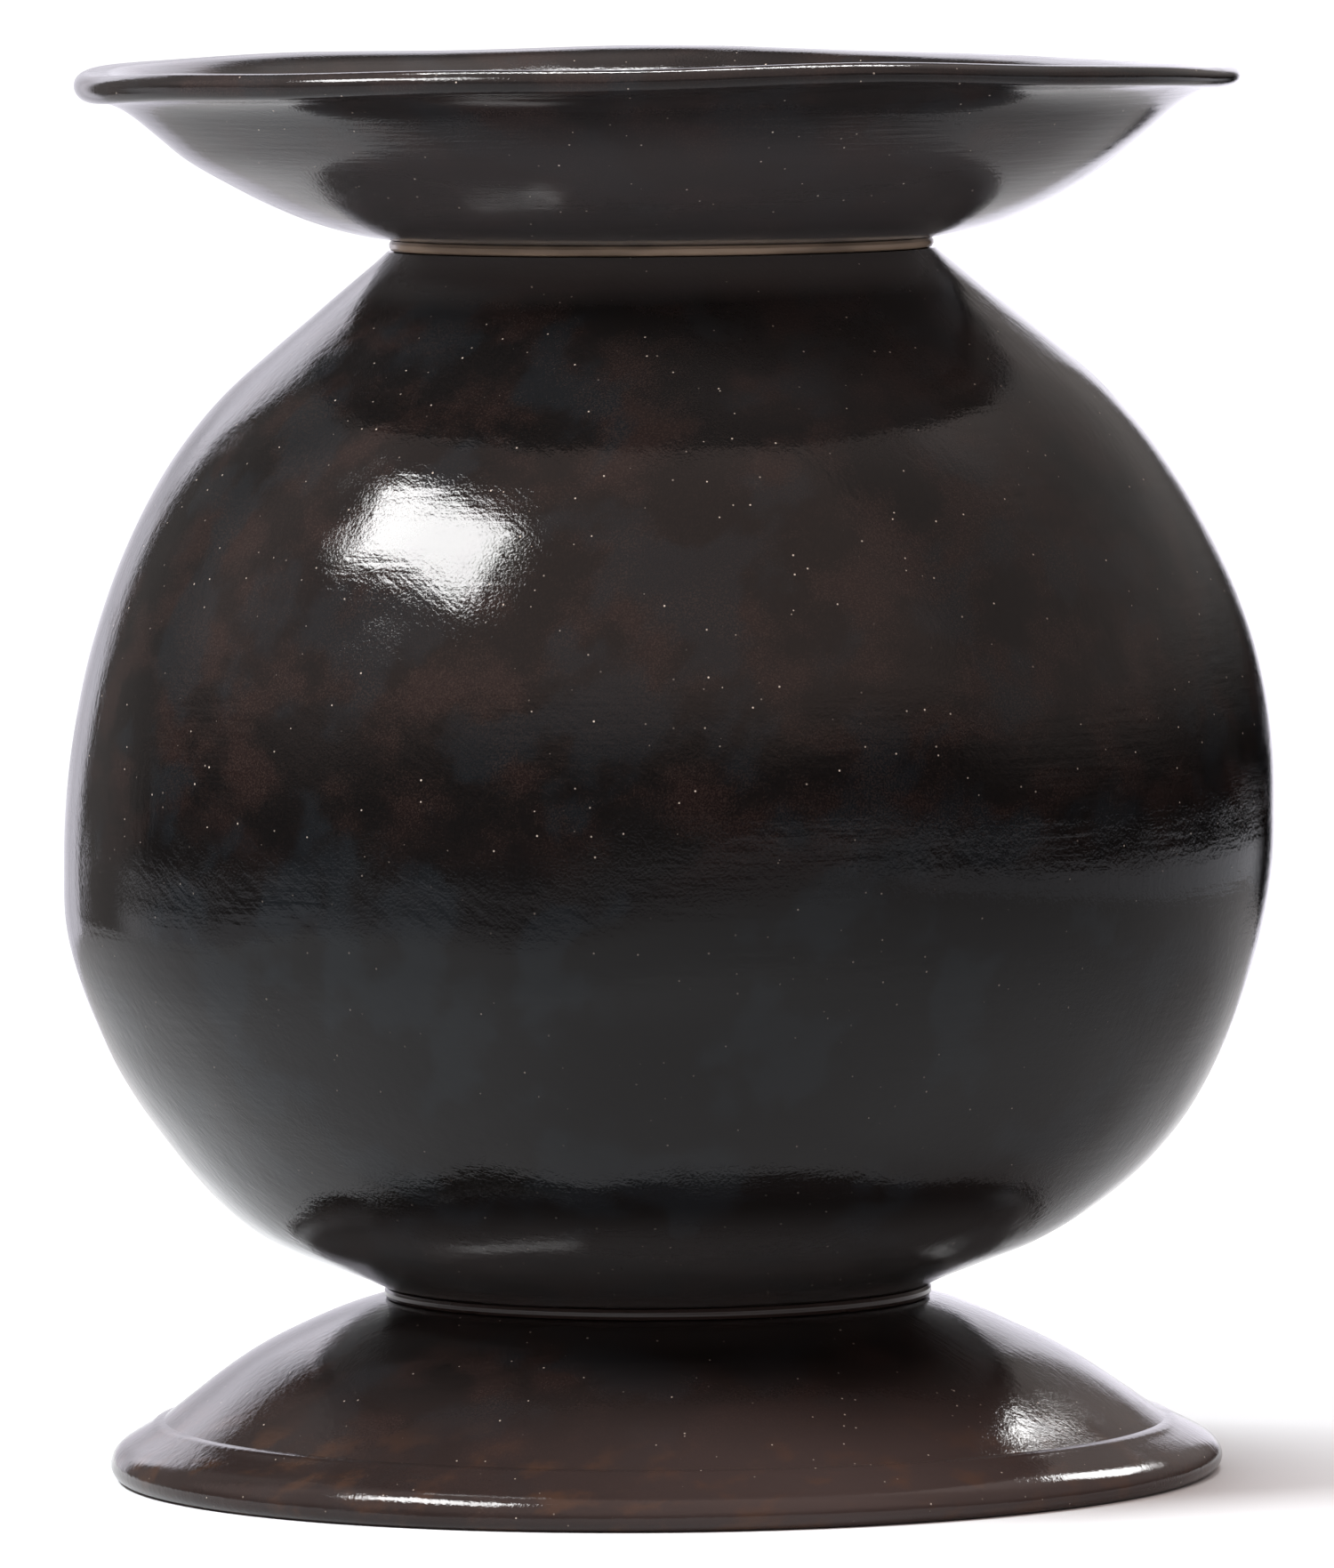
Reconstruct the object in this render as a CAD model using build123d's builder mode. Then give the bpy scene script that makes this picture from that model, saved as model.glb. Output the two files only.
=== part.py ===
"""Burnished black clay pot in three swellings: a flared foot, a globe and a wide open bowl.

Every piece is one that the potter makes apart and lutes on with slip while the clay is leather
hard: two body halves on a pressed floor, a foot and a bowl, rolled coils on their two free edges,
and soft coils in the three joints. The pieces meet face to face and nothing moves.

Millimetres. Z is the pot's own axis, and the origin is the centre of the ring that it stands on.
"""

import os
from math import cos, radians, sin

from build123d import *

# Walls
wall = 9.0  # body, bowl and foot
throat_radius = 81.0  # bore through both waists and the joint coils

# Levels, from the floor up
waist_radius = 90.6
foot_top = 60.3
body_bottom = 63.5
equator_bottom = 206.0
equator_top = 216.0
body_top = 404.7
bowl_bottom = 408.2

# Globe: from the equator, arcs of a radius and a turn towards the axis, then a straight run
body_radius = 200.0
upper_arcs = [(217.0, 33.3), (147.0, 16.9)]
lower_arcs = [(153.0, 41.6), (109.0, 26.9)]
upper_run = 75.0  # each run ends inside the throat, where it is cut off
lower_run = 45.0
globe_floor_thickness = 9.0
globe_floor_edge = 2.0  # rounding where the floor is smeared into the wall

# Bowl: a hollow swell, a straight stretch and a turn outwards to the level lip
bowl_start_slope = 6.0
bowl_swell = (115.0, 36.5)
bowl_run = 18.0
bowl_lip_turn = (25.0, 42.5)
rim_roll_thickness = 10.0
rim_radius = 192.3

# Foot: a dome that steepens down to the rolled edge
foot_start_slope = 10.0
foot_dome = (134.0, 37.0)
foot_run = 12.0  # straight stretch that the roll cuts off upright
foot_radius = 183.5
foot_roll_crown = (177.0, 13.6)  # where the sloping top of the roll starts to round over
foot_roll_side = 5.0  # height of the widest point
foot_ring_outer = 179.5  # outer edge of the flat resting ring

os.makedirs("parts", exist_ok=True)


def heading(degrees):
    """Unit direction in a profile, from outwards (0) towards up (90)."""
    return (cos(radians(degrees)), sin(radians(degrees)))


def tangent_arcs(start, direction, arcs, side):
    """Draws arcs end to end and gives the end point and direction. Side 1 turns left, -1 right."""
    for radius, turn in arcs:
        arc = JernArc(start, direction, radius, side * turn)
        start, direction = arc @ 1, arc % 1
    return start, direction


def ring(bottom, top, outer_radius, inner_radius):
    """A soft luting coil pressed flat between two levels."""
    with BuildPart() as coil:
        with BuildSketch(Plane.XY.offset(bottom)):
            Circle(outer_radius)
            Circle(inner_radius, mode=Mode.SUBTRACT)
        extrude(amount=top - bottom)
    return coil


def cut_round(level, radius, depth):
    """Cuts a round of clay away from a level upwards, or downwards where depth is negative."""
    with BuildSketch(Plane.XY.offset(level)) as disc:
        Circle(radius)
    extrude(disc.sketch, amount=depth, mode=Mode.SUBTRACT)


# Foot: open below, level where it carries the waist coil
with BuildPart() as foot_flare:
    with BuildSketch(Plane.XZ):
        with BuildLine():
            shelf = Line((throat_radius, foot_top), (waist_radius, foot_top))
            seat, steep = tangent_arcs(shelf @ 1, heading(-foot_start_slope), [foot_dome], -1)
            Line(seat, seat + steep * foot_run)
            offset(amount=wall, side=Side.RIGHT)
        make_face()
    revolve(axis=Axis.Z)
    with BuildSketch():
        Circle(seat.X + foot_run)
        Circle(seat.X, mode=Mode.SUBTRACT)
    extrude(amount=foot_top, both=True, mode=Mode.SUBTRACT)
foot_flare.part.label = "foot_flare"

# Thick coil under the edge of the foot: sloping top, rounded side, flat resting ring
with BuildPart() as foot_edge_roll:
    with BuildSketch(Plane.XZ):
        with BuildLine():
            slope = Line((seat.X, seat.Y), foot_roll_crown)
            crown = TangentArc(slope @ 1, (foot_radius, foot_roll_side), tangent=slope % 1)
            under = TangentArc(crown @ 1, (foot_ring_outer, 0), tangent=crown % 1)
            Polyline(under @ 1, (seat.X, 0), slope @ 0)
        make_face()
    revolve(axis=Axis.Z)
foot_edge_roll.part.label = "foot_edge_roll"

# Soft coil in the joint between the foot and the globe
waist_coil = ring(foot_top, body_bottom, waist_radius, throat_radius)
waist_coil.part.label = "waist_coil"

# Lower half of the globe: pressed shell with a round hole that the floor closes
with BuildPart() as body_lower_half:
    with BuildSketch(Plane.XZ):
        with BuildLine():
            end, direction = tangent_arcs((body_radius, equator_bottom), (0, -1), lower_arcs, -1)
            Line(end, end + direction * lower_run)
            offset(amount=wall, side=Side.RIGHT)
        make_face()
    revolve(axis=Axis.Z)
    cut_round(body_bottom, body_radius, -body_bottom)
    cut_round(body_bottom, throat_radius, equator_bottom - body_bottom)
body_lower_half.part.label = "body_lower_half"

# Floor of the globe: a slab disc pressed into the hole, its top edge smeared round
with BuildPart() as body_floor:
    with BuildSketch(Plane.XY.offset(body_bottom)):
        Circle(throat_radius)
    extrude(amount=globe_floor_thickness)
    fillet(body_floor.edges().sort_by(Axis.Z)[-1], globe_floor_edge)
body_floor.part.label = "body_floor"

# Coil that lutes the two halves together at the widest place
equator_coil = ring(equator_bottom, equator_top, body_radius, body_radius - wall)
equator_coil.part.label = "equator_coil"

# Upper half of the globe: coiled up to the shoulder and cut level at the neck
with BuildPart() as body_upper_half:
    with BuildSketch(Plane.XZ):
        with BuildLine():
            end, direction = tangent_arcs((body_radius, equator_top), (0, 1), upper_arcs, 1)
            Line(end, end + direction * upper_run)
            offset(amount=wall, side=Side.LEFT)
        make_face()
    revolve(axis=Axis.Z)
    cut_round(body_top, body_radius, body_top - equator_top)
    cut_round(body_top, throat_radius, equator_top - body_top)
body_upper_half.part.label = "body_upper_half"

# Soft coil in the joint between the globe and the bowl
neck_coil = ring(body_top, bowl_bottom, waist_radius, throat_radius)
neck_coil.part.label = "neck_coil"

# Bowl: open throat, swelling side, lip turned out level and cut off where the roll starts
with BuildPart() as bowl_flare:
    with BuildSketch(Plane.XZ):
        with BuildLine():
            shelf = Line((throat_radius, bowl_bottom), (waist_radius, bowl_bottom))
            end, direction = tangent_arcs(shelf @ 1, heading(bowl_start_slope), [bowl_swell], 1)
            side_run = Line(end, end + direction * bowl_run)
            lip, level = tangent_arcs(side_run @ 1, side_run % 1, [bowl_lip_turn], -1)
            offset(amount=wall, side=Side.LEFT)
        make_face()
    revolve(axis=Axis.Z)
bowl_flare.part.label = "bowl_flare"

# Rolled lip: its flat inner side takes the whole edge of the bowl, its outer side is half round
roll_end = rim_radius - rim_roll_thickness / 2
roll_bottom = lip.Y - (rim_roll_thickness - wall) / 2
roll_top = roll_bottom + rim_roll_thickness
with BuildPart() as rim_roll:
    with BuildSketch(Plane.XZ):
        with BuildLine():
            top_side = Line((lip.X, roll_top), (roll_end, roll_top))
            nose = ThreePointArc(top_side @ 1, (rim_radius, lip.Y + wall / 2), (roll_end, roll_bottom))
            Polyline(nose @ 1, (lip.X, roll_bottom), top_side @ 0)
        make_face()
    revolve(axis=Axis.Z)
rim_roll.part.label = "rim_roll"

pieces = [
    foot_flare,
    foot_edge_roll,
    waist_coil,
    body_lower_half,
    body_floor,
    equator_coil,
    body_upper_half,
    neck_coil,
    bowl_flare,
    rim_roll,
]
for piece in pieces:
    export_step(piece.part, f"parts/{piece.part.label}.step")
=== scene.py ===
"""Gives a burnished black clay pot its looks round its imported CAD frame, as a Blender add-on."""

from math import atan2, cos, degrees, exp, hypot, pi, radians, sin, tan

import bmesh
import bpy
from mathutils import Matrix, Vector, noise


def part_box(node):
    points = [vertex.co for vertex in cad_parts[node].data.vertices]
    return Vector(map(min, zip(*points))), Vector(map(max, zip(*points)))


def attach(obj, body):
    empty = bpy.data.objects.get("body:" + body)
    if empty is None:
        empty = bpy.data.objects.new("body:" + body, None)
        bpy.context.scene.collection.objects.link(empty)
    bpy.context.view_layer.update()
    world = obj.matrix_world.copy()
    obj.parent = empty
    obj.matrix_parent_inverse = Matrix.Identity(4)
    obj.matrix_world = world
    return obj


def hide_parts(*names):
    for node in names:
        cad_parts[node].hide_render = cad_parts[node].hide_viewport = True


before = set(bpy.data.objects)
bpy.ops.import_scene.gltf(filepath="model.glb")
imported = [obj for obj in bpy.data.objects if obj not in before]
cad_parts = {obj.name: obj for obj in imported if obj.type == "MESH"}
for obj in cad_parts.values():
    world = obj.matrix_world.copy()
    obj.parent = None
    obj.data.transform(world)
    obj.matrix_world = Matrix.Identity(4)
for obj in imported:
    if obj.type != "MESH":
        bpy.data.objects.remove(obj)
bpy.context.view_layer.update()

bl_info = {
    "name": "Burnished black clay pot",
    "version": (1, 0, 0),
    "blender": (4, 5, 0),
    "location": "View3D > Sidebar > Clay pot",
    "description": "Makes the pot's clay pieces, their burnished finish and a plain studio",
    "category": "Mesh",
}

MM = 0.001

# Levels and radii that the frame fixes
FOOT_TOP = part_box("waist_coil")[0].z
GLOBE_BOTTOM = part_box("body_lower_half")[0].z
EQUATOR_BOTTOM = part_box("equator_coil")[0].z
EQUATOR_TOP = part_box("equator_coil")[1].z
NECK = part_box("neck_coil")[0].z
BOWL_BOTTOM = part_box("bowl_flare")[0].z
RIM_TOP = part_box("rim_roll")[1].z
GLOBE_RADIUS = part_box("equator_coil")[1].x
WAIST_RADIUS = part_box("waist_coil")[1].x
THROAT_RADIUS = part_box("body_floor")[1].x
FLOOR_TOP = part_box("body_floor")[1].z
FOOT_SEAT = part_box("foot_flare")[1].x
RIM_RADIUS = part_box("rim_roll")[1].x
LIP_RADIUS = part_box("bowl_flare")[1].x

# How far each section's arcs turn, from the equator or the waist outwards, in degrees
BELLY_TURNS = (41.6, 26.9)
SHOULDER_TURNS = (33.3, 16.9)
FOOT_SLOPE = -10
FOOT_TURN = 37
BOWL_SLOPE = 6
BOWL_TURN = 36.5
LIP_TURN = 42.5


def linear(hex_colour):
    """An sRGB hex colour as the four linear numbers that shaders take."""
    channels = [int(hex_colour[i : i + 2], 16) / 255 for i in (1, 3, 5)]
    return (*(c / 12.92 if c <= 0.04045 else ((c + 0.055) / 1.055) ** 2.4 for c in channels), 1.0)


def length(name, description, millimetres):
    """A length property whose default is given in millimetres."""
    return bpy.props.FloatProperty(
        name=name, description=description, default=millimetres * MM, unit="LENGTH", precision=4
    )


def colour(name, description, hex_colour):
    """A colour property whose default is given as an sRGB hex value."""
    return bpy.props.FloatVectorProperty(
        name=name,
        description=description,
        default=linear(hex_colour),
        subtype="COLOR",
        size=4,
        min=0,
        max=1,
    )


class CLAY_PG_sizes(bpy.types.PropertyGroup):
    """The potter's measures that the frame doesn't give as a box."""

    wall: length("Wall", "Thickness of the clay wall", 9.0)
    shoulder_swell: length("Shoulder swell", "Radius of the wall above the equator", 217.0)
    shoulder_turn: length("Shoulder turn", "Tighter radius where the shoulder turns in", 147.0)
    belly_swell: length("Belly swell", "Radius of the wall below the equator", 153.0)
    belly_turn: length("Belly turn", "Tighter radius where the belly turns in", 109.0)
    bowl_swell: length("Bowl swell", "Radius of the bowl's hollow side", 115.0)
    bowl_run: length("Bowl run", "Straight stretch up to the lip's turn", 18.0)
    lip_turn: length("Lip turn", "Radius where the lip turns out level", 25.0)
    foot_dome: length("Foot dome", "Radius of the foot's dome", 134.0)
    hand_wander: length("Hand wander", "How far the hand-built wall strays from round", 0.55)
    rim_wave: length("Rim wave", "Rise and fall of the rim round its circle", 2.1)


class CLAY_PG_colours(bpy.types.PropertyGroup):
    """The clay's colours after its smoky firing, with the painted fill light and painted sheen put
    in among them.
    """

    black: colour("Smoke black", "Clay that the smoke reached fully", "#0d0c0c")
    brown: colour("Warm brown", "Patches where the smoke was thinner", "#191211")
    slate: colour("Slate", "Cooler patches between the two", "#121416")
    grain: colour("Grain", "Fine mineral grain rubbed bare", "#322824")
    # Painted fill light: grey painted on where the wall lies in shade
    painted_fill: colour("Painted fill light", "Clay that the pebble hardly reached", "#5e5a59")
    # Painted sheen: grey painted over the bowl for its reflections
    haze: colour("Bowl painted sheen", "Clay wiped level and rubbed lightly", "#444040")
    # Brown haze, also painted stronger on the side away from the key light
    foot: colour("Foot haze", "Handled clay on the foot", "#3c3230")
    worn: colour("Worn clay", "Golden brown where the foot's edge is worn", "#5a3d28")
    dust: colour("Dust", "Specks of grit and dust", "#c4b8ac")
    slip: colour("Slip", "Soft clay left in the joints", "#a48e7a")
    # Darker slip, used for the waist coil and for blots
    slip_dark: colour("Slip, dark", "The same clay where the smoke reached it", "#2e2421")
    raw: colour("Inside clay", "Wiped clay inside the globe and under the foot", "#2b2624")
    raw_pale: colour("Inside clay, dry", "The same clay where it dried paler", "#3a312c")


# The hand-built shape

# Sideways stray of the wall's centre at each height, both in millimetres
LEAN = [
    (0, -2.4),
    (60, -4.4),
    (78, -3.6),
    (120, -0.3),
    (210, 0.4),
    (370, 0.4),
    (402, 0.2),
    (409, 0.2),
    (418, -1.0),
    (440, -2.0),
    (470, -3.6),
]

# Where a palm pressed or pushed out the globe: bearing in degrees from the right side towards
# the back, then height, width and height of the patch, and how far its clay climbed, all in
# millimetres
PALM_MARKS = [
    (257, 204, 32, 60, -9.0),
    (284, 208, 34, 60, 5.0),
    (243, 200, 26, 50, -2.5),
    (222, 204, 30, 50, -3.0),
    (303, 206, 30, 55, 1.5),
    (262, 104, 16, 22, -1.3),
    (249, 100, 16, 22, 1.3),
    (234, 96, 15, 20, -1.3),
    (283, 102, 26, 24, 0.9),
    (300, 100, 18, 20, -1.2),
]


def smooth(value, low, high):
    """0 below low, 1 above high and an eased rise between."""
    t = min(1.0, max(0.0, (value - low) / (high - low)))
    return t * t * (3 - 2 * t)


def lean_at(height):
    """How far the wall's centre strays along X at a height, in metres."""
    level = height / MM
    for (low, before), (high, after) in zip(LEAN, LEAN[1:]):
        if level <= high:
            return (before + (after - before) * smooth(level, low, high)) * MM
    return LEAN[-1][1] * MM


def palm_climb(angle, height):
    """How far the palm marks moved the clay up or down at a bearing and a height, in metres."""
    climb = 0.0
    for bearing, level, width, tall, rise in PALM_MARKS:
        turn = (angle - radians(bearing) + pi) % (2 * pi) - pi
        across = turn * GLOBE_RADIUS / (width * MM)
        along = (height - level * MM) / (tall * MM)
        climb += rise * MM * exp(-across * across - along * along)
    return climb


def hand_shape(bm, sizes):
    """Moves every point from its turned place to where the potter's hands left it."""
    for vert in bm.verts:
        x, y, z = vert.co
        radius, angle = hypot(x, y), atan2(y, x)
        outward = x / radius if radius > 1e-6 else 0.0
        in_bowl = smooth(z, BOWL_BOTTOM + 0.018, BOWL_BOTTOM + 0.045)
        on_globe = smooth(z, GLOBE_BOTTOM, GLOBE_BOTTOM + 0.02)
        on_globe *= 1 - smooth(z, NECK - 0.02, NECK)
        # The wall strays from round in long swells and in palm-sized flats
        swell = sin(2 * angle + 1.1 + 9 * z) + 0.7 * sin(3 * angle - 0.6 - 14 * z)
        swell += 0.45 * sin(5 * angle + 2.3 + 21 * z)
        palm = noise.noise(vert.co * 19) + 0.15 * noise.noise(vert.co * 45)
        clear_of_floor = smooth(z, 0.0, 0.006)
        stray = sizes.hand_wander * (0.6 * swell + 0.6 * palm) * clear_of_floor
        # The belly was scraped slimmer, more on one side
        on_belly = smooth(z, 0.072, 0.1) * (1 - smooth(z, 0.15, 0.2))
        scraped = (2.2 - 1.1 * outward) * MM
        stray -= scraped * on_belly
        grown = 1 + stray / max(radius, 0.05)
        x, y = x * grown, y * grown
        # Fingers left soft ripples, and the globe's widest line climbs towards one side
        z += 0.2 * MM * noise.noise(vert.co * 62) * on_globe
        near_equator = smooth(z, EQUATOR_BOTTOM - 0.11, EQUATOR_BOTTOM)
        near_equator *= 1 - smooth(z, EQUATOR_TOP, EQUATOR_TOP + 0.13)
        z += 0.045 * x * near_equator + palm_climb(angle, z) * on_globe
        # The foot's dome sank while the clay was soft, more on one side
        on_foot = smooth(z, 0.002, 0.026) * (1 - smooth(z, 0.05, GLOBE_BOTTOM + 0.004))
        sunk = (1.3 * outward + 4.0) * MM
        z -= sunk * on_foot
        # A finger filled the crease above the foot's edge
        crease = (radius - FOOT_SEAT - 3 * MM) / (11 * MM)
        filling = 2.4 * MM
        z += filling * exp(-crease * crease) * smooth(z, 0.004, 0.012) * (z < FOOT_TOP)
        # The bowl sags on one side of the neck, and its lip is drawn out on the other
        sag = 1 - smooth(abs(z - BOWL_BOTTOM - 0.012), 0.002, 0.02)
        sagged = (1.4 - 0.8 * outward) * MM
        z += sagged * sag
        lip_pull = in_bowl * smooth(radius, LIP_RADIUS - 0.016, LIP_RADIUS + 0.002)
        drawn_out = 2.7 * MM
        x += lean_at(z) + drawn_out * lip_pull
        # The lip is thinner on one side, and the rim rises and falls and tips a little
        z += (0.15 + 0.15 * outward) * (RIM_TOP - z) * lip_pull
        wave = -cos(2 * angle - radians(28)) + 0.22 * sin(5 * angle + 0.8) + 0.16 * sin(9 * angle)
        z += wave * sizes.rim_wave * in_bowl + (0.7 * MM - 0.006 * x) * in_bowl
        vert.co = (x, y, z)


# Drawing and turning


class Pen:
    """Draws a wall's section in the XZ plane, X outwards from the axis and Z up."""

    def __init__(self, bm, x, z, heading, pitch=3 * MM):
        self.bm, self.heading, self.pitch = bm, heading, pitch
        self.first = self.last = bm.verts.new((x, 0, z))

    def direction(self):
        return Vector((cos(radians(self.heading)), 0, sin(radians(self.heading))))

    def beside(self, distance):
        """The point that far to the left of the pen."""
        ahead = self.direction()
        return self.last.co + Vector((-ahead.z, 0, ahead.x)) * distance

    def step(self, move):
        new = bmesh.ops.extrude_vert_indiv(self.bm, verts=[self.last])["verts"][0]
        bmesh.ops.translate(self.bm, verts=[new], vec=move)
        self.last = new

    def to(self, x, z):
        """A straight stretch to a point."""
        move = Vector((x, 0, z)) - self.last.co
        steps = max(1, round(move.length / self.pitch))
        for _ in range(steps):
            self.step(move / steps)

    def run(self, distance):
        """A straight stretch along the heading."""
        end = self.last.co + self.direction() * distance
        self.to(end.x, end.z)

    def turn(self, radius, angle):
        """An arc that turns left by angle degrees, or right where angle is negative."""
        centre = self.beside(radius if angle > 0 else -radius)
        steps = max(4, round(radius * radians(abs(angle)) / self.pitch))
        made = bmesh.ops.spin(
            self.bm,
            geom=[self.last],
            cent=centre,
            axis=(0, -1, 0),
            angle=radians(angle),
            steps=steps,
        )
        self.last = [e for e in made["geom_last"] if isinstance(e, bmesh.types.BMVert)][0]
        self.heading += angle

    def at_radius(self, point, x):
        """Height where the line through a point along the heading reaches a radius."""
        return point.z + (x - point.x) * tan(radians(self.heading))

    def close(self):
        self.bm.edges.new((self.last, self.first))


def turned_piece(name, draw, sizes, materials, is_inside=None, steps=360):
    """Turns the section that draw makes into a piece, shapes it by hand and rides it. Faces that
    is_inside picks take the second material."""
    bm = bmesh.new()
    draw(bm)
    bmesh.ops.spin(
        bm,
        geom=bm.verts[:] + bm.edges[:],
        cent=(0, 0, 0),
        axis=(0, 0, 1),
        angle=2 * pi,
        steps=steps,
        use_merge=True,
    )
    bmesh.ops.remove_doubles(bm, verts=bm.verts, dist=0.01 * MM)
    bmesh.ops.recalc_face_normals(bm, faces=bm.faces)
    for face in bm.faces:
        face.smooth = True
        if is_inside and is_inside(face.calc_center_median()):
            face.material_index = 1
    for edge in bm.edges:
        edge.smooth = edge.calc_face_angle(0.0) < radians(35)
    hand_shape(bm, sizes)
    mesh = bpy.data.meshes.new(name)
    bm.to_mesh(mesh)
    bm.free()
    piece = bpy.data.objects.new(name, mesh)
    bpy.context.scene.collection.objects.link(piece)
    for material in materials:
        mesh.materials.append(material)
    node = name.removesuffix("_clay")
    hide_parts(node)
    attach(piece, "root")
    return piece


# Finishes

# Node settings used again and again: a range carried over with an eased rise, and colours mixed
EASED = {"interpolation_type": "SMOOTHSTEP"}
BLEND = {"output": 2, "data_type": "RGBA"}


def add_node(tree, kind, inputs=None, output=0, **settings):
    """Adds a node with its settings and gives one of its outputs. Inputs maps a socket's name or
    number to a value or to another node's output."""
    node = tree.nodes.new("ShaderNode" + kind)
    for key, value in settings.items():
        setattr(node, key, value)
    for key, value in (inputs or {}).items():
        if isinstance(value, bpy.types.NodeSocket):
            tree.links.new(value, node.inputs[key])
        else:
            node.inputs[key].default_value = value
    return node if output is None else node.outputs[output]


def new_material(name):
    """An empty node material and the piece's own coordinates."""
    material = bpy.data.materials.new(name)
    material.use_nodes = True
    material.node_tree.nodes.clear()
    place = add_node(material.node_tree, "TexCoord", output="Object")
    return material, material.node_tree, place


def strokes_of(tree, place, across, along, turn=(0, 0, 0), detail=2.0):
    """Noise drawn out in strokes: their width and length in millimetres, upright until turned."""
    turned = add_node(tree, "Mapping", {"Vector": place, "Rotation": turn})
    scale = (1 / (across * MM), 1 / (across * MM), 1 / (along * MM))
    sized = add_node(tree, "Mapping", {"Vector": turned, "Scale": scale})
    return add_node(tree, "TexNoise", {"Vector": sized, "Scale": 1.0, "Detail": detail})


def stone_burnished_clay(colours):
    """Smoke-fired earthenware rubbed with a pebble: deep gloss broken by narrow rubbing strokes,
    fine grain, hazy patches where the rubbing was lighter, and brown clouds in the black."""
    material, tree, place = new_material("stone_burnished_black_clay")
    # Clouds of smoke colour, 15 to 50 mm across. The brown ones leave out the belly, where the
    # smoke was even
    split = add_node(tree, "SeparateXYZ", {0: place}, None).outputs
    height = split["Z"]
    clouds = strokes_of(tree, place, 26, 20, detail=5.0)
    drift = strokes_of(tree, place, 34, 26, turn=(0.4, 0.9, 0.2), detail=5.0)
    browned = add_node(tree, "MapRange", {0: clouds, 1: 0.42, 2: 0.66}, **EASED)
    cooled = add_node(tree, "MapRange", {0: drift, 1: 0.5, 2: 0.62}, **EASED)
    below = {0: height, 1: GLOBE_BOTTOM, 2: GLOBE_BOTTOM + 0.03, 3: 1.0, 4: 0.0}
    below = add_node(tree, "MapRange", below, **EASED)
    above = {0: height, 1: EQUATOR_BOTTOM - 0.01, 2: EQUATOR_TOP + 0.03}
    above = add_node(tree, "MapRange", above, **EASED)
    clouded = add_node(tree, "Math", {0: below, 1: above}, operation="MAXIMUM")
    browned = add_node(tree, "Math", {0: browned, 1: clouded}, operation="MULTIPLY")
    base = add_node(tree, "Mix", {0: browned, 6: colours.black, 7: colours.brown}, **BLEND)
    base = add_node(tree, "Mix", {0: cooled, 6: base, 7: colours.slate}, **BLEND)
    # Fine grain, half a millimetre to a millimetre, and denser in places
    fine = strokes_of(tree, place, 0.6, 0.6, detail=3.0)
    dense = add_node(tree, "MapRange", {0: clouds, 1: 0.4, 2: 0.62, 3: 0.15, 4: 0.5}, **EASED)
    dense = add_node(tree, "Math", {0: dense, 1: clouded}, operation="MULTIPLY")
    bare = add_node(tree, "MapRange", {0: fine, 1: 0.44, 2: 0.72}, **EASED)
    bare = add_node(tree, "Math", {0: bare, 1: dense}, operation="MULTIPLY")
    base = add_node(tree, "Mix", {0: bare, 6: base, 7: colours.grain}, **BLEND)
    # Painted fill light: a light grey is painted where the bowl shades the wall under the neck,
    # where the belly shades the foot's top, and on the shoulder's right, away from the key light
    in_bowl = {0: height, 1: BOWL_BOTTOM, 2: BOWL_BOTTOM + 0.006}
    in_bowl = add_node(tree, "MapRange", in_bowl, **EASED)
    # Painted fill light in the bowl's shade, just below the neck
    painted_fill_under_bowl = {0: height, 1: NECK - 0.018, 2: NECK + 0.004}
    painted_fill_under_bowl = add_node(tree, "MapRange", painted_fill_under_bowl, **EASED)
    # Painted fill light on the shoulder, only on its right, the side away from the key light
    to_right = {0: split["X"], 1: -0.06, 2: 0.08, 3: 0.0, 4: 0.12}
    to_right = add_node(tree, "MapRange", to_right, **EASED)
    shoulder = {0: height, 1: NECK - 0.08, 2: NECK - 0.035}
    shoulder = add_node(tree, "MapRange", shoulder, **EASED)
    shoulder = add_node(tree, "Math", {0: shoulder, 1: to_right}, operation="MULTIPLY")
    # Painted fill light in the belly's shade, on the bottom of the belly and the top of the foot
    low = {0: height, 1: GLOBE_BOTTOM + 0.02, 2: GLOBE_BOTTOM + 0.04, 3: 0.2, 4: 0.0}
    low = add_node(tree, "MapRange", low, **EASED)
    over_foot = {0: height, 1: FOOT_TOP - 0.012, 2: FOOT_TOP}
    over_foot = add_node(tree, "MapRange", over_foot, **EASED)
    low = add_node(tree, "Math", {0: low, 1: over_foot}, operation="MULTIPLY")
    painted_fill = add_node(tree, "Math", {0: painted_fill_under_bowl, 1: shoulder}, operation="MAXIMUM")
    painted_fill = add_node(tree, "Math", {0: painted_fill, 1: low}, operation="MAXIMUM")
    out_of_bowl = add_node(tree, "Math", {0: 1.0, 1: in_bowl}, operation="SUBTRACT")
    painted_fill = add_node(tree, "Math", {0: painted_fill, 1: out_of_bowl}, operation="MULTIPLY")
    base = add_node(tree, "Mix", {0: painted_fill, 6: base, 7: colours.painted_fill}, **BLEND)
    # Painted sheen: a grey painted over the bowl, stronger below the lip, for its reflections
    to_lip = {0: height, 1: RIM_TOP - 0.03, 2: RIM_TOP - 0.012, 3: 0.5, 4: 0.15}
    to_lip = add_node(tree, "MapRange", to_lip, **EASED)
    painted_sheen_amount = add_node(tree, "Math", {0: in_bowl, 1: to_lip}, operation="MULTIPLY")
    base = add_node(tree, "Mix", {0: painted_sheen_amount, 6: base, 7: colours.haze}, **BLEND)
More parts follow.
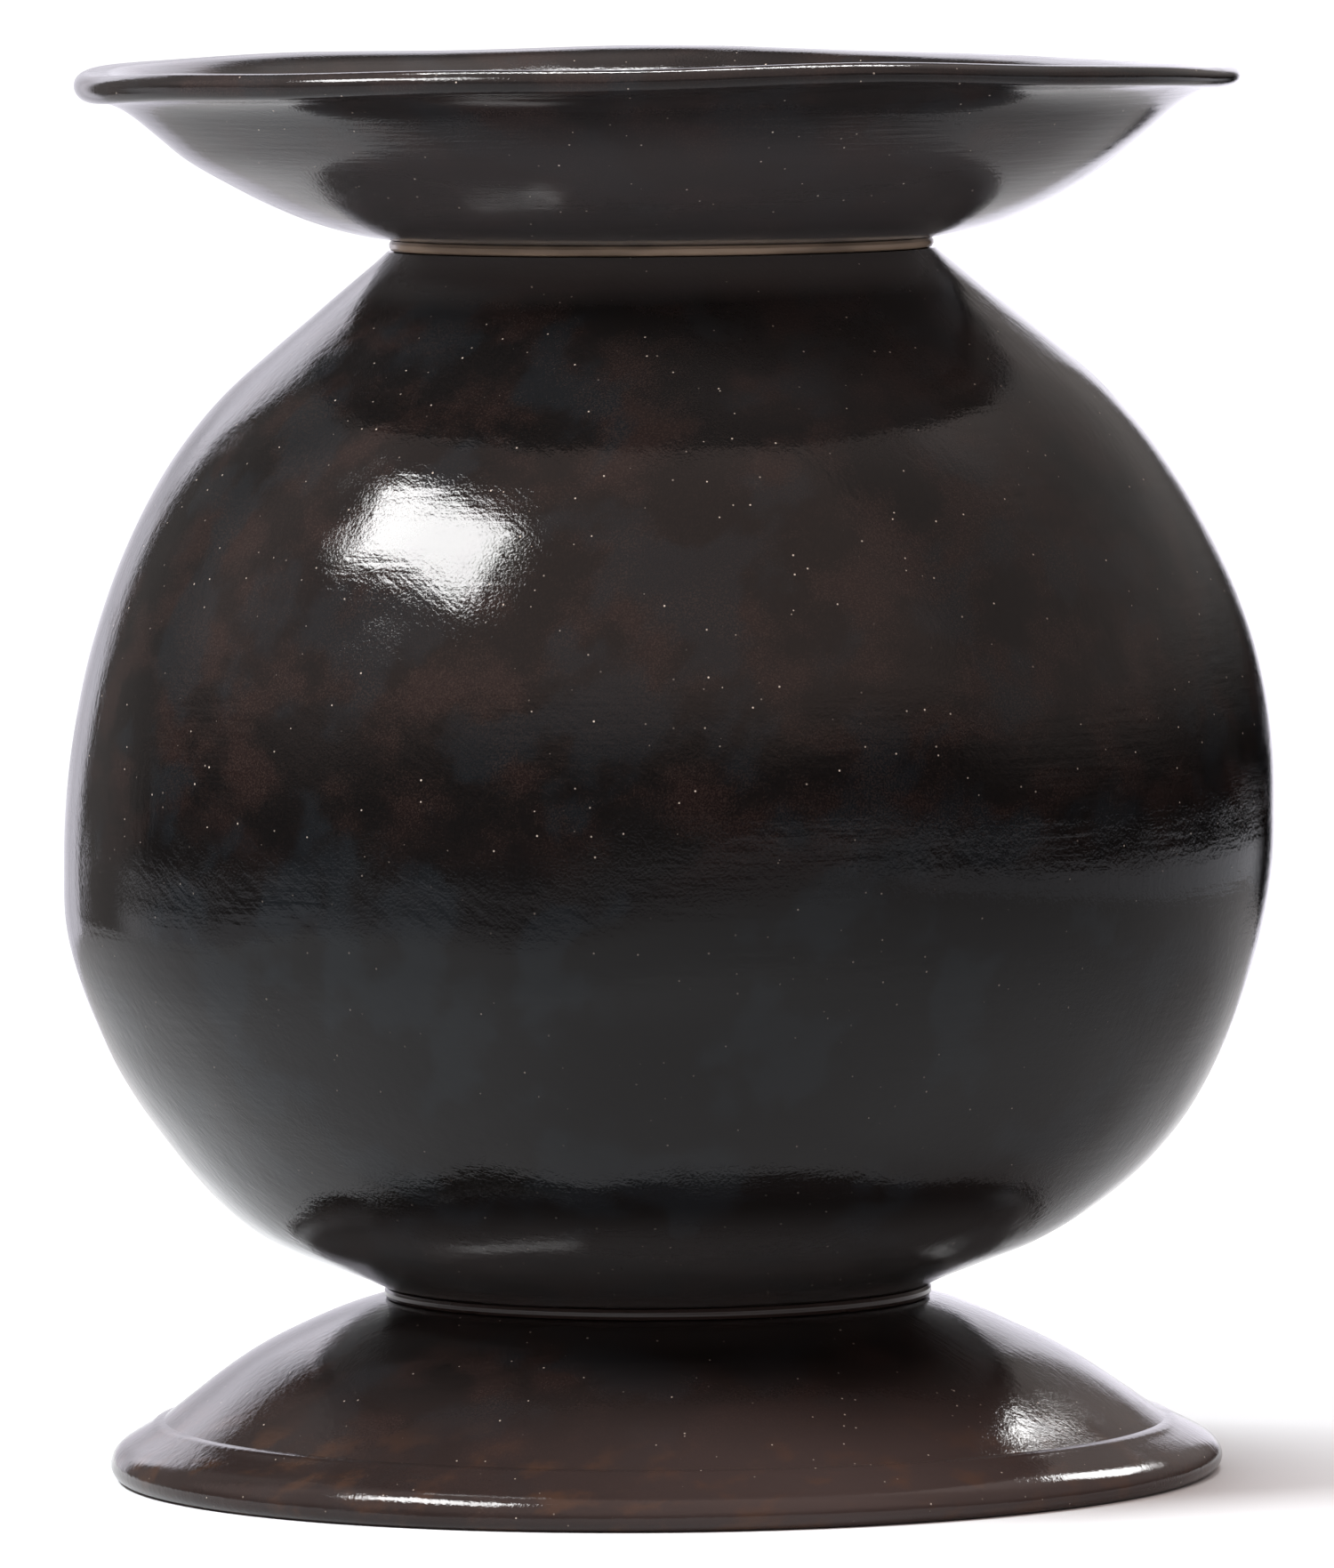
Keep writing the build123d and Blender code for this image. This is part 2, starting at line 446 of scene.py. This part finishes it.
    # The foot takes a brown haze, stronger towards its edge, and worn golden-brown patches low
    # down.
    # The haze is also painted stronger on the right, away from the key light: painted fill light
    to_edge = {0: height, 1: FOOT_TOP * 0.25, 2: FOOT_TOP * 0.9, 3: 1.0, 4: 0.0}
    to_edge = add_node(tree, "MapRange", to_edge, **EASED)
    # Painted fill light: stronger haze on the right, the side that the key light leaves in shade
    painted_fill_side = {0: split["X"], 1: -0.1, 2: 0.1, 3: 0.4, 4: 1.1}
    painted_fill_side = add_node(tree, "MapRange", painted_fill_side, **EASED)
    foot_haze_and_fill = add_node(tree, "Math", {0: to_edge, 1: painted_fill_side}, operation="MULTIPLY")
    base = add_node(tree, "Mix", {0: foot_haze_and_fill, 6: base, 7: colours.foot}, **BLEND)
    patches = strokes_of(tree, place, 16, 9, turn=(0.1, 0.2, 0.6), detail=4.0)
    patches = add_node(tree, "MapRange", {0: patches, 1: 0.5, 2: 0.7, 4: 0.25}, **EASED)
    worn = {0: height, 1: 0.014, 2: 0.034, 3: 1.0, 4: 0.0}
    worn = add_node(tree, "MapRange", worn, **EASED)
    worn = add_node(tree, "Math", {0: worn, 1: patches}, operation="MULTIPLY")
    base = add_node(tree, "Mix", {0: worn, 6: base, 7: colours.worn}, **BLEND)
    # Grit and dust: pale specks under a millimetre, each with its own brightness
    spots = {"Vector": place, "Scale": 1 / (4.6 * MM)}
    spots = add_node(tree, "TexVoronoi", spots, None).outputs
    near = {0: spots["Distance"], 1: 0.05, 2: 0.085, 3: 1.0, 4: 0.0}
    near = add_node(tree, "MapRange", near, **EASED)
    chance = add_node(tree, "SeparateColor", {0: spots["Color"]}, 0)
    chance = add_node(tree, "MapRange", {0: chance, 1: 0.35, 2: 1.0, 4: 0.8}, **EASED)
    specks = add_node(tree, "Math", {0: near, 1: chance}, operation="MULTIPLY")
    strewn = add_node(tree, "MapRange", {0: clouded, 3: 0.25, 4: 1.0})
    specks = add_node(tree, "Math", {0: specks, 1: strewn}, operation="MULTIPLY")
    base = add_node(tree, "Mix", {0: specks, 6: base, 7: colours.dust}, **BLEND)
    # Rubbing strokes, about 3 mm wide on the globe, upright, slanting or level by areas, and
    # half as wide and level on the bowl
    upright = strokes_of(tree, place, 3.0, 34.0)
    level = strokes_of(tree, place, 26.0, 2.8)
    slant = strokes_of(tree, place, 2.6, 22.0, turn=(0.7, 0.75, 0.0))
    turned_level = strokes_of(tree, place, 30.0, 1.3, detail=3.0)
    area = strokes_of(tree, place, 60, 45, turn=(0.3, 0.1, 0.8))
    area = add_node(tree, "MapRange", {0: area, 1: 0.42, 2: 0.58}, **EASED)
    rubbed = add_node(tree, "Mix", {0: area, 2: upright, 3: level})
    rubbed = add_node(tree, "Math", {0: slant, 1: 0.7, 2: rubbed}, operation="MULTIPLY_ADD")
    rubbed = add_node(tree, "Mix", {0: in_bowl, 2: rubbed, 3: turned_level})
    stroked = {"Height": rubbed, "Strength": 1.0, "Distance": 0.09 * MM}
    stroked = add_node(tree, "Bump", stroked)
    # Grit left proud of the rubbed face, higher in the hazy patches, which are rougher too
    hazy = strokes_of(tree, place, 38, 30, turn=(0.9, 0.2, 0.5))
    hazy = add_node(tree, "MapRange", {0: hazy, 1: 0.5, 2: 0.66}, **EASED)
    grains = strokes_of(tree, place, 0.9, 0.9, detail=3.0)
    grains = add_node(tree, "MapRange", {0: grains, 1: 0.4, 2: 0.68}, **EASED)
    proud = add_node(tree, "MapRange", {0: hazy, 3: 0.45, 4: 1.0})
    gritty = {"Height": grains, "Strength": proud, "Distance": 0.025 * MM, "Normal": stroked}
    gritty = add_node(tree, "Bump", gritty)
    shader = {
        "Base Color": base,
        "Roughness": add_node(tree, "MapRange", {0: hazy, 3: 0.06, 4: 0.12}),
        "IOR": 1.34,
        "Normal": gritty,
    }
    add_node(tree, "OutputMaterial", {"Surface": add_node(tree, "BsdfPrincipled", shader)}, None)
    return material


def joint_slip(colours):
    """Brown clay slip smoothed along a joint with a finger: satin, in long faint streaks."""
    material, tree, place = new_material("finger_smoothed_joint_slip")
    streaks = strokes_of(tree, place, 60.0, 1.1)
    blots = strokes_of(tree, place, 45.0, 8.0)
    # The coil at the waist takes the darker slip and the coil at the neck the paler
    below_neck = add_node(tree, "SeparateXYZ", {0: place}, "Z")
    below_neck = add_node(tree, "MapRange", {0: below_neck, 1: NECK * 0.9, 2: NECK, 3: 1.0, 4: 0.0})
    pale = add_node(tree, "Mix", {0: below_neck, 6: colours.slip, 7: colours.slip_dark}, **BLEND)
    blots = add_node(tree, "MapRange", {0: blots, 1: 0.4, 2: 0.66, 4: 0.5}, **EASED)
    base = add_node(tree, "Mix", {0: blots, 6: pale, 7: colours.slip_dark}, **BLEND)
    relief = {"Height": streaks, "Strength": 0.5, "Distance": 0.12 * MM}
    relief = add_node(tree, "Bump", relief)
    shader = {"Base Color": base, "Roughness": 0.2, "IOR": 1.45, "Normal": relief}
    add_node(tree, "OutputMaterial", {"Surface": add_node(tree, "BsdfPrincipled", shader)}, None)
    return material


def wiped_clay(colours):
    """Clay wiped with a wet cloth and never rubbed: dull, with finger-wide wiping rings."""
    material, tree, place = new_material("wiped_unburnished_clay")
    rings = strokes_of(tree, place, 60.0, 7.0, detail=3.0)
    grain = strokes_of(tree, place, 1.1, 1.1, detail=4.0)
    tone = add_node(tree, "Math", {0: rings, 1: 1.5, 2: grain}, operation="MULTIPLY_ADD")
    dry = add_node(tree, "MapRange", {0: tone, 1: 1.0, 2: 1.6}, **EASED)
    base = add_node(tree, "Mix", {0: dry, 6: colours.raw, 7: colours.raw_pale}, **BLEND)
    relief = add_node(tree, "Bump", {"Height": tone, "Strength": 0.8, "Distance": 0.2 * MM})
    shader = {"Base Color": base, "Roughness": 0.78, "IOR": 1.5, "Normal": relief}
    add_node(tree, "OutputMaterial", {"Surface": add_node(tree, "BsdfPrincipled", shader)}, None)
    return material


def finish(name, maker):
    """The named finish, which its maker makes the first time that it is asked for."""
    return bpy.data.materials.get(name) or maker(bpy.context.scene.clay_colours)


def burnished():
    return finish("stone_burnished_black_clay", stone_burnished_clay)


def slip():
    return finish("finger_smoothed_joint_slip", joint_slip)


def wiped():
    return finish("wiped_unburnished_clay", wiped_clay)


# Sections of the pieces

# Space between points where nothing shows
WIDE_PITCH = 6 * MM


def draw_foot(bm, sizes):
    """A level shelf, the dome and a short straight edge, hollow below."""
    pen = Pen(bm, THROAT_RADIUS, FOOT_TOP, 0)
    pen.to(WAIST_RADIUS, FOOT_TOP)
    pen.heading = FOOT_SLOPE
    pen.turn(sizes.foot_dome, -FOOT_TURN)
    inner = pen.beside(-sizes.wall)
    pen.to(FOOT_SEAT, pen.at_radius(pen.last.co, FOOT_SEAT))
    pen.pitch = WIDE_PITCH
    pen.to(FOOT_SEAT, pen.at_radius(inner, FOOT_SEAT))
    pen.to(inner.x, inner.z)
    pen.heading += 180
    pen.turn(sizes.foot_dome - sizes.wall, FOOT_TURN)
    pen.to(THROAT_RADIUS, FOOT_TOP - sizes.wall)
    pen.close()


def draw_foot_roll(bm):
    """A flat resting ring, a rounded side and a sloping top that eases into the dome."""
    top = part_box("foot_edge_roll")[1]
    heel, crown, crease = 4.5 * MM, 9.6 * MM, 19 * MM
    pen = Pen(bm, FOOT_SEAT, 0, 0, pitch=1.5 * MM)
    pen.to(top.x - heel, 0)
    pen.turn(heel, 90)
    pen.turn(crown, 64)
    pen.run(6.0 * MM)
    pen.turn(crease, -17)
    pen.to(FOOT_SEAT, top.z)
    pen.close()


def draw_joint_coil(bm, low, high):
    """A flattened coil: square to the throat, half round outside."""
    half = (high - low) / 2
    pen = Pen(bm, THROAT_RADIUS, low, 0, pitch=1.0 * MM)
    pen.to(WAIST_RADIUS - half * 1.2, low)
    pen.turn(half, 180)
    pen.to(THROAT_RADIUS, high)
    pen.close()


def draw_belly(bm, sizes):
    """Two arcs down from the equator, then straight to the level cut at the waist."""
    near, far = BELLY_TURNS
    pen = Pen(bm, GLOBE_RADIUS, EQUATOR_BOTTOM, -90)
    pen.turn(sizes.belly_swell, -near)
    pen.turn(sizes.belly_turn, -far)
    inner = pen.beside(-sizes.wall)
    pen.run((GLOBE_BOTTOM - pen.last.co.z) / sin(radians(pen.heading)))
    pen.pitch = WIDE_PITCH
    pen.to(THROAT_RADIUS, GLOBE_BOTTOM)
    pen.to(THROAT_RADIUS, pen.at_radius(inner, THROAT_RADIUS))
    pen.to(inner.x, inner.z)
    pen.heading += 180
    pen.turn(sizes.belly_turn - sizes.wall, far)
    pen.turn(sizes.belly_swell - sizes.wall, near)
    pen.close()


def draw_shoulder(bm, sizes):
    """Two arcs up from the equator, then straight to the level cut at the neck."""
    near, far = SHOULDER_TURNS
    pen = Pen(bm, GLOBE_RADIUS, EQUATOR_TOP, 90)
    pen.turn(sizes.shoulder_swell, near)
    pen.turn(sizes.shoulder_turn, far)
    inner = pen.beside(sizes.wall)
    pen.run((NECK - pen.last.co.z) / sin(radians(pen.heading)))
    pen.pitch = WIDE_PITCH
    pen.to(THROAT_RADIUS, NECK)
    pen.to(THROAT_RADIUS, pen.at_radius(inner, THROAT_RADIUS))
    pen.to(inner.x, inner.z)
    pen.heading += 180
    pen.turn(sizes.shoulder_turn - sizes.wall, -far)
    pen.turn(sizes.shoulder_swell - sizes.wall, -near)
    pen.close()


def draw_equator(bm, sizes):
    """A coil pressed flat between the halves, flush with both faces of the wall."""
    pen = Pen(bm, GLOBE_RADIUS, EQUATOR_BOTTOM, 90, pitch=2.5 * MM)
    pen.to(GLOBE_RADIUS, EQUATOR_TOP)
    pen.to(GLOBE_RADIUS - sizes.wall, EQUATOR_TOP)
    pen.to(GLOBE_RADIUS - sizes.wall, EQUATOR_BOTTOM)
    pen.close()


def draw_floor_disc(bm):
    """Open section from the axis out, round the smeared edge and back to the axis."""
    edge = 2 * MM
    pen = Pen(bm, 0, GLOBE_BOTTOM, 0, pitch=WIDE_PITCH)
    pen.to(THROAT_RADIUS, GLOBE_BOTTOM)
    pen.heading = 90
    pen.to(THROAT_RADIUS, FLOOR_TOP - edge)
    pen.turn(edge, 90)
    pen.to(0, FLOOR_TOP)


def draw_bowl(bm, sizes):
    """Out along the underside to the level lip, and back along the inside to the throat."""
    pen = Pen(bm, THROAT_RADIUS, BOWL_BOTTOM, 0)
    pen.to(WAIST_RADIUS, BOWL_BOTTOM)
    pen.heading = BOWL_SLOPE
    pen.turn(sizes.bowl_swell, BOWL_TURN)
    pen.run(sizes.bowl_run)
    pen.turn(sizes.lip_turn, -LIP_TURN)
    pen.to(pen.last.co.x, pen.last.co.z + sizes.wall)
    pen.heading = 180
    pen.turn(sizes.lip_turn + sizes.wall, LIP_TURN)
    pen.run(sizes.bowl_run)
    pen.turn(sizes.bowl_swell - sizes.wall, -BOWL_TURN)
    edge = 2.5 * MM
    pen.to(THROAT_RADIUS + edge, BOWL_BOTTOM + sizes.wall)
    pen.heading = 180
    pen.turn(edge, 90)
    pen.close()


def draw_rim(bm, sizes):
    """A round coil cut by the bowl's edge, so its section is most of a circle."""
    half, reach = sizes.wall / 2, RIM_RADIUS - LIP_RADIUS
    coil = (reach**2 + half**2) / (2 * reach)
    tilt = degrees(atan2(reach - coil, half))
    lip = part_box("bowl_flare")[1].z - sizes.wall
    pen = Pen(bm, LIP_RADIUS, lip, -tilt, pitch=1.2 * MM)
    pen.turn(coil, 180 + 2 * tilt)
    pen.close()


# Which side of a wall a face is on, so that the side never rubbed takes the dull finish


def is_under_foot(point, sizes):
    """True on the hollow side of the foot, nearer to the dome's centre than its wall's middle."""
    centre_x = WAIST_RADIUS + sizes.foot_dome * sin(radians(FOOT_SLOPE))
    centre_z = FOOT_TOP - sizes.foot_dome * cos(radians(FOOT_SLOPE))
    reach = hypot(hypot(point.x, point.y) - centre_x, point.z - centre_z)
    below_shelf = point.z < FOOT_TOP - 0.2 * MM
    return below_shelf and reach < sizes.foot_dome - sizes.wall / 2


def is_under_roll(point):
    """True on the ring that the pot stands on and on the side that meets the foot."""
    return point.z < 0.3 * MM or hypot(point.x, point.y) < FOOT_SEAT + 0.3 * MM


def is_in_globe(point, sizes):
    """True on the inner side of the globe's wall, split a little inside the wall's middle."""
    if point.z < EQUATOR_BOTTOM:
        # The first arc's circle is followed on, to just above the waist
        level = min(EQUATOR_BOTTOM - point.z, 0.93 * sizes.belly_swell)
        swell = sizes.belly_swell
    else:
        swell, level = sizes.shoulder_swell, max(0.0, point.z - EQUATOR_TOP)
    bend = (swell**2 - level**2) ** 0.5
    depth = 0.62 * sizes.wall * swell / bend
    return hypot(point.x, point.y) < GLOBE_RADIUS - swell + bend - depth


# Operators


class CLAY_OT_foot(bpy.types.Operator):
    """Make the flared foot and the coil rolled onto its edge"""

    bl_idname = "clay_pot.foot"
    bl_label = "Foot"

    def execute(self, context):
        sizes = context.scene.clay_sizes
        turned_piece(
            "foot_flare_clay",
            lambda bm: draw_foot(bm, sizes),
            sizes,
            [burnished(), wiped()],
            lambda point: is_under_foot(point, sizes),
        )
        turned_piece(
            "foot_edge_roll_clay",
            draw_foot_roll,
            sizes,
            [burnished(), wiped()],
            is_under_roll,
        )
        return {"FINISHED"}


class CLAY_OT_joint_coils(bpy.types.Operator):
    """Make the soft coils in the two waists"""

    bl_idname = "clay_pot.joint_coils"
    bl_label = "Joint coils"

    def execute(self, context):
        sizes = context.scene.clay_sizes
        for node, low, high in (
            ("waist_coil", FOOT_TOP, GLOBE_BOTTOM),
            ("neck_coil", NECK, BOWL_BOTTOM),
        ):
            turned_piece(
                node + "_clay",
                lambda bm: draw_joint_coil(bm, low, high),
                sizes,
                [slip()],
            )
        return {"FINISHED"}


class CLAY_OT_globe(bpy.types.Operator):
    """Make the globe: two halves, the coil between them and the floor inside"""

    bl_idname = "clay_pot.globe"
    bl_label = "Globe"

    def execute(self, context):
        sizes = context.scene.clay_sizes
        middle = GLOBE_RADIUS - sizes.wall / 2

        def is_inside(point):
            return is_in_globe(point, sizes)

        shells = (
            ("body_lower_half", draw_belly, is_inside),
            ("equator_coil", draw_equator, lambda point: hypot(point.x, point.y) < middle),
            ("body_upper_half", draw_shoulder, is_inside),
        )
        for node, draw, has_dull_side in shells:
            turned_piece(
                node + "_clay",
                lambda bm: draw(bm, sizes),
                sizes,
                [burnished(), wiped()],
                has_dull_side,
            )
        turned_piece(
            "body_floor_clay",
            draw_floor_disc,
            sizes,
            [wiped()],
            steps=96,
        )
        return {"FINISHED"}


class CLAY_OT_bowl(bpy.types.Operator):
    """Make the open bowl and the coil rolled onto its lip"""

    bl_idname = "clay_pot.bowl"
    bl_label = "Bowl"

    def execute(self, context):
        sizes = context.scene.clay_sizes
        for node, draw in (("bowl_flare", draw_bowl), ("rim_roll", draw_rim)):
            turned_piece(
                node + "_clay",
                lambda bm: draw(bm, sizes),
                sizes,
                [burnished()],
            )
        return {"FINISHED"}


# Studio


def pale_floor_finish(half_width, front, back):
    """Matt white paper, faded out at its edges so that it meets the pale surroundings."""
    material, tree, place = new_material("matt_white_paper")
    split = add_node(tree, "SeparateXYZ", {0: place}, None).outputs
    side = add_node(tree, "Math", {0: split["X"]}, operation="ABSOLUTE")
    inside = {0: side, 1: half_width - 0.1, 2: half_width - 0.01, 3: 1.0, 4: 0.0}
    inside = add_node(tree, "MapRange", inside, **EASED)
    before = {0: split["Y"], 1: front + 0.01, 2: front + 0.08}
    before = add_node(tree, "MapRange", before, **EASED)
    behind = {0: split["Y"], 1: back - 0.12, 2: back - 0.01, 3: 1.0, 4: 0.0}
    behind = add_node(tree, "MapRange", behind, **EASED)
    there = add_node(tree, "Math", {0: inside, 1: before}, operation="MULTIPLY")
    there = add_node(tree, "Math", {0: there, 1: behind}, operation="MULTIPLY")
    # Seen in the clay's gloss, the paper in front dims away from the pot, as it does under a
    # small light
    in_front = add_node(tree, "Math", {0: split["Y"], 1: 0.0}, operation="MINIMUM")
    reach = add_node(tree, "CombineXYZ", {0: split["X"], 1: in_front})
    reach = add_node(tree, "VectorMath", {0: reach}, "Value", operation="LENGTH")
    dimmed = {0: reach, 1: 0.2, 2: 0.6, 3: 0.76, 4: 0.45}
    dimmed = add_node(tree, "MapRange", dimmed, **EASED)
    glossy = add_node(tree, "LightPath", output="Is Glossy Ray")
    dimming = add_node(tree, "Mix", {0: glossy, 2: 1.0, 3: dimmed})
    black = (0.0, 0.0, 0.0, 1.0)
    white = add_node(tree, "Mix", {0: dimming, 6: black, 7: linear("#ecf2f6")}, **BLEND)
    paper = {"Base Color": white, "Roughness": 0.9, "Specular IOR Level": 0.1}
    paper = add_node(tree, "BsdfPrincipled", paper)
    clear = add_node(tree, "BsdfTransparent")
    both = add_node(tree, "MixShader", {0: there, 1: clear, 2: paper})
    add_node(tree, "OutputMaterial", {"Surface": both}, None)
    return material


def studio_surroundings():
    """White to look at. What lights the clay and shows in its gloss is a room: a white sweep
    behind, warm dim walls and ceiling, a pale floor past the paper and a dark band in front."""
    world = bpy.data.worlds.new("studio_room")
    world.use_nodes = True
    tree = world.node_tree
    tree.nodes.clear()
    split = add_node(tree, "SeparateXYZ", {0: add_node(tree, "TexCoord", output="Generated")}, None)
    right, away, up = split.outputs
    toward = add_node(tree, "Math", {0: away, 1: -1.0}, operation="MULTIPLY")
    bearing = add_node(tree, "Math", {0: right, 1: toward}, operation="ARCTAN2")
    climb = add_node(tree, "Math", {0: up}, operation="ARCSINE")

    def between(value, rise, fall, ease):
        """1 between two angles in degrees and 0 outside them, with eased ends."""
        rising = {0: value, 1: radians(rise - ease), 2: radians(rise + ease)}
        rising = add_node(tree, "MapRange", rising, **EASED)
        falling = {0: value, 1: radians(fall - ease), 2: radians(fall + ease), 3: 1.0, 4: 0.0}
        falling = add_node(tree, "MapRange", falling, **EASED)
        return add_node(tree, "Math", {0: rising, 1: falling}, operation="MULTIPLY")

    # Each part of the room: bearings and climbs that it spans, in degrees, with the ease at its
    # ends, then its brightness and colour. Bearing 0 is in front, 90 on the right and 180 behind,
    # and an end past 180 only keeps the ease off the seam. Parts that overlap add up.
    room = [
        # Walls in front, on the left and on the right
        ((-62, 62, 9), (17, 95, 10), 0.98, "#ffe3da"),
        ((-118, -62, 9), (12, 95, 10), 0.7, "#ffe8e2"),
        ((62, 118, 12), (8, 95, 10), 0.62, "#ffece6"),
        # Floor past the paper, and the dark band above it in front
        ((-128, 152, 6), (-60, -4.2, 0.3), 0.8, "#f8f8ff"),
        ((-60, 62, 9), (-4.0, 17, 6), 0.03, "#ffe9e4"),
        # White sweep behind, from the left with its bright edge and upper part, and on the right
        ((-190, -151.5, 1), (-60, 27, 2), 1.05, "#f7f4ff"),
        ((-160, -151.5, 1), (-60, 27, 2), 0.4, "#f7f4ff"),
        ((-190, -151.5, 1), (13, 27, 3), 0.9, "#f7f4ff"),
        ((167, 190, 2), (-60, 27, 3), 1.5, "#f7f4ff"),
        # Walls behind, on the right and on the left
        ((118, 167, 8), (8, 95, 10), 0.4, "#fff6f2"),
        ((-150, -118, 8), (-20, 95, 10), 0.22, "#fff6f2"),
        # Ceiling, lit more on the right
        ((100, 200, 9), (45, 95, 12), 0.5, "#ffece6"),
        ((-200, -100, 9), (45, 95, 12), 0.12, "#ffece6"),
    ]
    total = (0.0, 0.0, 0.0)
    for bearings, climbs, bright, tint in room:
        area = add_node(
            tree,
            "Math",
            {0: between(bearing, *bearings), 1: between(climb, *climbs)},
            operation="MULTIPLY",
        )
        lit = tuple(c * bright for c in linear(tint)[:3])
        total = add_node(
            tree, "VectorMath", {0: area, 1: lit, 2: total}, operation="MULTIPLY_ADD"
        )
    seen = add_node(tree, "LightPath", output="Is Camera Ray")
    white = (1.1, 1.1, 1.1, 1.0)
    shown = add_node(tree, "Mix", {0: seen, 6: total, 7: white}, **BLEND)
    add_node(
        tree, "OutputWorld", {"Surface": add_node(tree, "Background", {"Color": shown})}, None
    )
    bpy.context.scene.world = world


def softbox(name, place, size, radiance, target=(0, 0, 0.23)):
    """An area light aimed at a point. Place is its azimuth, 0 in front of the pot and 90 on its
    right, its elevation and its distance, and size is its width and height."""
    azimuth, elevation, distance = place
    width, height = size
    data = bpy.data.lights.new(name, "AREA")
    data.shape, data.size, data.size_y = "RECTANGLE", width, height
    data.energy = radiance * pi * width * height
    light = bpy.data.objects.new(name, data)
    bpy.context.scene.collection.objects.link(light)
    a, e = radians(azimuth), radians(elevation)
    away = Vector((sin(a) * cos(e), -cos(a) * cos(e), sin(e)))
    light.location = Vector(target) + away * distance
    light.rotation_euler = away.to_track_quat("Z", "Y").to_euler()
    return light


def flag_to_foot(light):
    """Keeps a light off everything but the foot, as a card beside it would."""
    lit = bpy.data.collections.new("lit_by_" + light.name)
    for name in ("foot_flare_clay", "foot_edge_roll_clay"):
        lit.objects.link(bpy.data.objects[name])
    light.light_linking.receiver_collection = lit


class CLAY_OT_studio(bpy.types.Operator):
    """Make the pale floor, the soft lights and the camera"""

    bl_idname = "clay_pot.studio"
    bl_label = "Studio"

    def execute(self, context):
        # The paper's reach to each side, towards the camera and away from it
        half_width, front, back = 1.1, -2.2, 1.3
        bm = bmesh.new()
        bmesh.ops.create_grid(bm, x_segments=1, y_segments=1, size=0.5)
        bmesh.ops.scale(bm, vec=(2 * half_width, back - front, 1), verts=bm.verts)
        bmesh.ops.translate(bm, vec=(0, (front + back) / 2, 0), verts=bm.verts)
        mesh = bpy.data.meshes.new("pale_floor")
        bm.to_mesh(mesh)
        bm.free()
        mesh.materials.append(pale_floor_finish(half_width, front, back))
        floor = bpy.data.objects.new("pale_floor", mesh)
        context.scene.collection.objects.link(floor)

        studio_surroundings()
        softbox("key_softbox", (-60.5, 43, 1.7), (0.88, 0.4), 39)
        softbox("top_softbox", (180, 76, 1.5), (1.0, 0.12), 60)
        on_foot = (0.1125, -0.09, 0.03)
        flag_to_foot(softbox("foot_softbox", (136, 36, 1.8), (0.5, 0.5), 19, on_foot))

        # A long lens from a little above the rim, tipped by half a degree
        data = bpy.data.cameras.new("camera")
        data.lens, data.sensor_width = 357.3, 36.0
        data.clip_end = 60.0
        camera = bpy.data.objects.new("camera", data)
        context.scene.collection.objects.link(camera)
        camera.location = (0.0, -5.13, 0.558)
        aim = Vector((0.0, 0.0, 0.2282)) - camera.location
        look = aim.to_track_quat("-Z", "Y").to_matrix()
        tip = Matrix.Rotation(radians(-0.6), 3, "Z")
        camera.rotation_euler = (look @ tip).to_euler()
        context.scene.camera = camera
        context.scene.view_settings.view_transform = "Standard"
        return {"FINISHED"}


class CLAY_PT_pot(bpy.types.Panel):
    """Lists the pot's pieces and its measures"""

    bl_idname = "CLAY_PT_pot"
    bl_label = "Burnished black clay pot"
    bl_space_type = "VIEW_3D"
    bl_region_type = "UI"
    bl_category = "Clay pot"

    def draw(self, context):
        for operator in OPERATORS:
            self.layout.operator(operator.bl_idname)
        for group in (context.scene.clay_sizes, context.scene.clay_colours):
            box = self.layout.box()
            for name in group.__annotations__:
                box.prop(group, name)


OPERATORS = (CLAY_OT_foot, CLAY_OT_joint_coils, CLAY_OT_globe, CLAY_OT_bowl, CLAY_OT_studio)
CLASSES = (CLAY_PG_sizes, CLAY_PG_colours, *OPERATORS, CLAY_PT_pot)


def register():
    for cls in CLASSES:
        bpy.utils.register_class(cls)
    bpy.types.Scene.clay_sizes = bpy.props.PointerProperty(type=CLAY_PG_sizes)
    bpy.types.Scene.clay_colours = bpy.props.PointerProperty(type=CLAY_PG_colours)


def unregister():
    del bpy.types.Scene.clay_colours
    del bpy.types.Scene.clay_sizes
    for cls in reversed(CLASSES):
        bpy.utils.unregister_class(cls)


def main():
    register()
    for operator in (
        bpy.ops.clay_pot.foot,
        bpy.ops.clay_pot.joint_coils,
        bpy.ops.clay_pot.globe,
        bpy.ops.clay_pot.bowl,
        bpy.ops.clay_pot.studio,
    ):
        operator()


if __name__ == "__main__":
    main()
